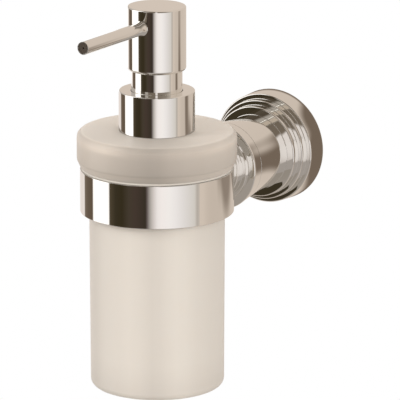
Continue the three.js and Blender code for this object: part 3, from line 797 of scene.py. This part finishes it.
def buildArm(nickel):
    shape, fillet = armShape, armShape["fillet"]
    end = shape["seam"] - shape["seamGap"]
    corners = [(shape["hole"], shape["start"])]
    for i in range(shape["filletSteps"] + 1):
        angle = math.radians(90 * i / shape["filletSteps"])
        out, up = fillet * (1 - math.sin(angle)), fillet * (1 - math.cos(angle))
        corners.append((shape["radius"] + out, shape["start"] + up))
    corners += curvePoints(shape["flareStart"], end - shape["seamEdge"], shape["flareSteps"], flareRadius)
    corners += [(flareRadius(end) - shape["seamEdge"], end), (shape["hole"], end)]
    finishPiece("armPost", turnPiece(corners, "arm"), "holder", "nickel", nickel, "arm_post")


endShape = {
    "steps": [(16.0, 51.5), (14.1, 55.7)], "neck": 13.3, "neckEnd": 60.0, "neckRound": 1.2, "nose": 8.4,
    "edge": 0.42, "fillet": 0.2, "flareSteps": 8, "flareToLip": 1.2,
}


def buildArmEnd(nickel):
    shape, edge, fillet = endShape, endShape["edge"], endShape["fillet"]
    seam, lip, seamEdge = armShape["seam"], armShape["lip"], armShape["seamEdge"]
    (first, firstEnd), (second, secondEnd) = shape["steps"]
    neck, neckEnd, nose = shape["neck"], shape["neckEnd"], shape["nose"]
    tip = reach / mm - ringShape["outer"]
    corners = [(0, seam), (flareRadius(seam) - seamEdge, seam)]
    corners += curvePoints(seam + seamEdge, lip - shape["flareToLip"], shape["flareSteps"], flareRadius)
    corners += [
        (armShape["lipRadius"], lip, armShape["lipEdge"]), (first, lip, fillet), (first, firstEnd, edge),
        (second, firstEnd, fillet), (second, secondEnd, edge), (neck, secondEnd),
        (neck, neckEnd, shape["neckRound"]), (nose, neckEnd), (nose, tip), (nose / 2, tip), (0, tip),
    ]
    mesh = turnPiece(corners, "arm", closed=False)
    for vert in mesh.verts:  # the nose's end takes the ring's curve
        if abs(-vert.co.y / mm - tip) < turning["ringTolerance"]:
            vert.co.y = -reach + math.sqrt((ringShape["outer"] * mm) ** 2 - vert.co.x ** 2)
    finishPiece("armEnd", mesh, "holder", "nickel", nickel, "arm_end_collar")


ringShape = {"outer": 33.9, "inner": 31.9, "low": -8.9, "high": 10.4, "edge": 0.3}
linerShape = {
    "outer": 31.6, "inner": 30.35, "low": -8.6, "footEdge": 0.3, "lip": 10.5, "top": 11.36,
    "lipRadius": 33.35, "lipEdge": 0.12,
}


def buildRing(nickel, plastic):
    shape, edge = ringShape, ringShape["edge"]
    corners = [
        (shape["inner"], shape["low"], edge), (shape["outer"], shape["low"], edge),
        (shape["outer"], shape["high"], edge), (shape["inner"], shape["high"], edge),
    ]
    finishPiece("ring", turnPiece(corners), "holder", "nickel", nickel, "holder_ring")
    shape, edge = linerShape, linerShape["footEdge"]
    corners = [
        (shape["inner"], shape["low"], edge), (shape["outer"], shape["low"], edge),
        (shape["outer"], shape["lip"]), (shape["lipRadius"], shape["lip"]),
        (shape["lipRadius"], shape["top"], shape["lipEdge"]), (shape["inner"], shape["top"]),
    ]
    finishPiece("ringLiner", turnPiece(corners), "holder", "clear_plastic", plastic, "ring_liner")


vesselShape = {
    "low": -88.4, "foot": 29.6, "footRound": 3.0, "body": 30.0, "flangeLow": 11.4, "flangeFoot": 33.7,
    "flangeEdge": 0.25, "flange": 35.25, "chamferTop": 14.85, "chamferEdge": 0.6, "top": 27.4,
    "topRound": 3.0, "mouth": 13.0, "mouthEdge": 0.6, "wall": 4.0, "ceiling": 19.4, "ceilingRound": 5.0,
    "floor": -82.4, "floorRound": 1.6,
}


def buildVessel(glass):
    shape = vesselShape
    corners = [
        (0, shape["low"]), (shape["foot"], shape["low"], shape["footRound"]),
        (shape["body"], shape["flangeLow"]), (shape["flangeFoot"], shape["flangeLow"], shape["flangeEdge"]),
        (shape["flange"], shape["chamferTop"], shape["chamferEdge"]),
        (shape["flange"], shape["top"], shape["topRound"]),
        (shape["mouth"], shape["top"], shape["mouthEdge"]),
        (shape["mouth"], shape["ceiling"], shape["mouthEdge"]),
        (shape["body"] - shape["wall"], shape["ceiling"], shape["ceilingRound"]),
        (shape["foot"] - shape["wall"], shape["floor"], shape["floorRound"]), (0, shape["floor"]),
    ]
    mesh = turnPiece(corners, closed=False)
    vessel = finishPiece("vessel", mesh, "vessel", "frosted_glass", glass, "glass_vessel")
    vessel.visible_glossy = False  # the card stands in for it


collarShape = {
    "radius": 16.75, "inner": 15.45, "low": 27.42, "footEdge": 0.2, "high": 45.5, "round": 0.5,
    "topWall": 1.6, "hole": 11.42, "holeEdge": 0.35,
}


def buildCollar(nickel):
    shape = collarShape
    ceiling = shape["high"] - shape["topWall"]
    corners = [
        (shape["inner"], shape["low"]), (shape["radius"], shape["low"], shape["footEdge"]),
        (shape["radius"], shape["high"], shape["round"]), (shape["hole"], shape["high"], shape["holeEdge"]),
        (shape["hole"], ceiling), (shape["inner"], ceiling),
    ]
    finishPiece("collar", turnPiece(corners), "pump", "nickel", nickel, "collar_shell")


neckShape = {
    "radius": 11.25, "bore": 9.7, "low": 41.9, "footEdge": 0.3, "high": 54.5, "spigot": 10.5,
    "spigotTop": 57.3,
}


def buildNeck(nickel):
    shape = neckShape
    corners = [
        (shape["bore"], shape["low"]), (shape["radius"], shape["low"], shape["footEdge"]),
        (shape["radius"], shape["high"]), (shape["spigot"], shape["high"]),
        (shape["spigot"], shape["spigotTop"]), (shape["bore"], shape["spigotTop"]),
    ]
    finishPiece("neck", turnPiece(corners), "head", "nickel", nickel, "neck_sleeve")


headShape = {
    "radius": 12.92, "low": 54.55, "footRound": 1.5, "high": 83.1, "round": 0.7, "lip": 10.8,
    "ledge": 57.3, "inner": 11.62, "ceiling": 81.6,
}


def buildHead(nickel):
    shape = headShape
    corners = [
        (0, shape["ceiling"]), (shape["inner"], shape["ceiling"]), (shape["inner"], shape["ledge"]),
        (shape["lip"], shape["ledge"]), (shape["lip"], shape["low"]),
        (shape["radius"], shape["low"], shape["footRound"]),
        (shape["radius"], shape["high"], shape["round"]), (0, shape["high"]),
    ]
    finishPiece("head", turnPiece(corners, closed=False), "head", "nickel", nickel, "head_shell")


# "end" is the distance from the head's middle to the open end of the spout
spoutShape = {
    "height": 75.2, "sunk": 0.6, "end": 58.4, "radius": 2.85, "flare": 3.4, "flareLength": 3.8,
    "flareSteps": 10, "channel": 1.95, "bore": 2.45, "boreDepth": 3.8, "edge": 0.12,
}
nozzleShape = {"radius": 2.43, "hole": 0.4, "length": 3.5, "sunk": 0.3, "edge": 0.1}


def buildSpout(nickel, dark):
    # both are turned on the arm's line, then lifted to their height and moved out to the head
    shape, tip = spoutShape, nozzleShape
    start, end = headShape["radius"] - shape["sunk"], shape["end"]
    flareEnd = headShape["radius"] + shape["flareLength"]

    def radiusAt(along):
        share = max(0.0, min(1.0, (flareEnd - along) / shape["flareLength"]))
        return shape["radius"] + (shape["flare"] - shape["radius"]) * share ** 2

    boreStart = end - shape["boreDepth"]
    corners = [(shape["channel"], start)]
    corners += curvePoints(start, flareEnd, shape["flareSteps"], radiusAt)
    corners += [(shape["radius"], end, shape["edge"]), (shape["bore"], end, shape["edge"])]
    corners += [(shape["bore"], boreStart), (shape["channel"], boreStart)]
    spout = turnPiece(corners, "arm", turning["smallSteps"])
    back, front = end - tip["length"], end - tip["sunk"]
    corners = [(tip["hole"], back, tip["edge"]), (tip["radius"], back)]
    corners += [(tip["radius"], front), (tip["hole"], front, tip["edge"])]
    nozzle = turnPiece(corners, "arm", turning["smallSteps"])
    for mesh in (spout, nozzle):
        bmesh.ops.translate(mesh, verts=mesh.verts, vec=(0, -reach, shape["height"] * mm))
    finishPiece("spout", spout, "head", "nickel", nickel, "spout_tube")
    finishPiece("nozzle", nozzle, "head", "dark_plastic", dark, "nozzle_tip")


plugShape = {
    "bore": 7.75, "low": 17.8, "footRound": 0.6, "radius": 12.2, "grooves": [(20.4, 22.4), (23.8, 25.8)],
    "grooveRadius": 10.9, "shoulder": 27.7, "rim": 15.15, "seat": 29.9, "rimBore": 13.25, "high": 36.0,
    "edge": 0.3,
}
sealShape = {
    "inner": 11.2, "outer": 12.85, "height": 1.4, "round": 0.6, "places": {"lower": 20.7, "upper": 24.1},
}


def buildPlug(plastic, seal):
    shape, edge = plugShape, plugShape["edge"]
    corners = [(shape["bore"], shape["low"]), (shape["radius"], shape["low"], shape["footRound"])]
    for low, high in shape["grooves"]:
        corners += [(shape["radius"], low), (shape["grooveRadius"], low)]
        corners += [(shape["grooveRadius"], high), (shape["radius"], high)]
    corners += [
        (shape["radius"], shape["shoulder"]), (shape["rim"], shape["shoulder"], edge),
        (shape["rim"], shape["high"], edge), (shape["rimBore"], shape["high"], edge),
        (shape["rimBore"], shape["seat"]), (shape["bore"], shape["seat"], edge),
    ]
    finishPiece("plug", turnPiece(corners), "pump", "clear_plastic", plastic, "mouth_plug")
    shape, rounding = sealShape, sealShape["round"]
    for name, low in shape["places"].items():
        high = low + shape["height"]
        corners = [
            (shape["inner"], low, rounding), (shape["outer"], low, rounding),
            (shape["outer"], high, rounding), (shape["inner"], high, rounding),
        ]
        mesh = turnPiece(corners, steps=turning["smallSteps"])
        finishPiece(name + "PlugSeal", mesh, "pump", "soft_seal", seal, "plug_seal_" + name)


cylinderShape = {
    "socket": (2.75, 4.0), "socketLow": -13.0, "socketTop": -7.0, "shoulder": [(4.25, -6.0), (7.5, -2.2)],
    "bore": 6.3, "boreLow": -1.0, "flange": 10.0, "flangeLow": 31.5, "high": 33.0, "chamber": 3.0,
    "seat": [(3.0, -4.6), (1.7, -6.0), (1.7, -7.0)],
    "rounds": {"mouth": 0.15, "socket": 0.4, "neck": 0.3, "wall": 0.5, "fillet": 0.2, "flange": 0.3},
}


def buildCylinder(plastic):
    shape, rounds = cylinderShape, cylinderShape["rounds"]
    inner, outer = shape["socket"]
    (neck, neckTop), (wall, wallLow) = shape["shoulder"]
    corners = [
        (inner, shape["socketLow"], rounds["mouth"]), (outer, shape["socketLow"], rounds["socket"]),
        (outer, shape["socketTop"]), (neck, neckTop, rounds["neck"]), (wall, wallLow, rounds["wall"]),
        (wall, shape["flangeLow"], rounds["fillet"]), (shape["flange"], shape["flangeLow"], rounds["flange"]),
        (shape["flange"], shape["high"], rounds["flange"]), (shape["bore"], shape["high"]),
        (shape["bore"], shape["boreLow"]), (shape["chamber"], shape["boreLow"]), *shape["seat"],
        (inner, shape["socketTop"]),
    ]
    mesh = turnPiece(corners, steps=turning["smallSteps"])
    finishPiece("pumpCylinder", mesh, "pump", "clear_plastic", plastic, "pump_cylinder")


tubeShape = {"bore": 1.7, "radius": 2.5, "low": -79.5, "high": -7.3, "edge": 0.2, "cutAt": -77.0}


def buildDipTube(plastic):
    shape = tubeShape
    corners = [
        (shape["bore"], shape["low"]), (shape["radius"], shape["low"]),
        (shape["radius"], shape["high"], shape["edge"]), (shape["bore"], shape["high"]),
    ]
    mesh = turnPiece(corners, steps=turning["smallSteps"])
    cut = bmesh.ops.bisect_plane(
        mesh, geom=mesh.verts[:] + mesh.edges[:] + mesh.faces[:], plane_co=(0, -reach, shape["cutAt"] * mm),
        plane_no=(1, 0, -1), clear_outer=True,
    )
    foot = [part for part in cut["geom_cut"] if isinstance(part, bmesh.types.BMEdge)]
    bmesh.ops.bridge_loops(mesh, edges=foot)
    bmesh.ops.recalc_face_normals(mesh, faces=mesh.faces)
    finishPiece("dipTube", mesh, "pump", "clear_plastic", plastic, "dip_tube")


# "keep" is the share that the squash leaves, with the head pressed all the way
springShape = {
    "coil": 4.9, "wire": 0.4, "sides": 12, "low": 0.82, "high": 17.88, "turns": 6, "turnSteps": 48,
    "keep": 0.515,
}


def buildSpring(steel):
    shape = springShape
    mesh = bmesh.new()
    bmesh.ops.create_circle(mesh, segments=shape["sides"], radius=shape["wire"] * mm)
    bmesh.ops.rotate(mesh, verts=mesh.verts, matrix=Matrix.Rotation(math.radians(90), 3, "X"))
    start = (shape["coil"] * mm, -reach, (shape["low"] + shape["wire"]) * mm)
    bmesh.ops.translate(mesh, verts=mesh.verts, vec=start)
    steps = shape["turns"] * shape["turnSteps"]
    climb = (shape["high"] - shape["low"] - 2 * shape["wire"]) * mm / steps
    bmesh.ops.spin(
        mesh, geom=mesh.verts[:] + mesh.edges[:], cent=(0, -reach, 0), axis=(0, 0, 1), dvec=(0, 0, climb),
        angle=math.tau * shape["turns"], steps=steps, use_merge=False,
    )
    bmesh.ops.holes_fill(mesh, edges=mesh.edges, sides=shape["sides"])
    bmesh.ops.recalc_face_normals(mesh, faces=mesh.faces)
    coil = finishPiece("returnSpring", mesh, "pump", "steel", steel, "return_spring")
    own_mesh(coil)


# the solids that are shown as they are, by finish
carriedOver = {
    "steel": ["wall_plate", "rosette_grub_screw", "arm_stud", "ring_screw", "inlet_ball", "outlet_ball"],
    "plastic": ["guide_bush", "stem_guide", "inlet_cage", "piston_stem", "actuator_core"],
    "seal": ["cylinder_gasket", "piston"],
}


def dressCarriedOver(finishes):
    for finish, names in carriedOver.items():
        for name in names:
            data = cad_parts[name].data
            data.materials.clear()
            data.materials.append(finishes[finish])


buildCamera()
buildWorld()
buildLamps()
buildFloor()
buildScreens()
buildBackWall()
buildVesselCard()
print("studio set up")

nickel = makeNickel()
steel = makeSteel()
glass = makeGlass()
plastic = makePlastic()
seal = makeSeal()
dark = makeDark()
print("materials made")

buildRosette(nickel)
buildArm(nickel)
buildArmEnd(nickel)
buildRing(nickel, plastic)
print("holder built")
buildVessel(glass)
print("vessel built")
buildCollar(nickel)
buildNeck(nickel)
buildHead(nickel)
buildSpout(nickel, dark)
print("collar and head built")
buildPlug(plastic, seal)
buildCylinder(plastic)
buildDipTube(plastic)
buildSpring(steel)
dressCarriedOver({"steel": steel, "plastic": plastic, "seal": seal})
print("pump built")

bpy.context.scene.view_settings.view_transform = "Standard"
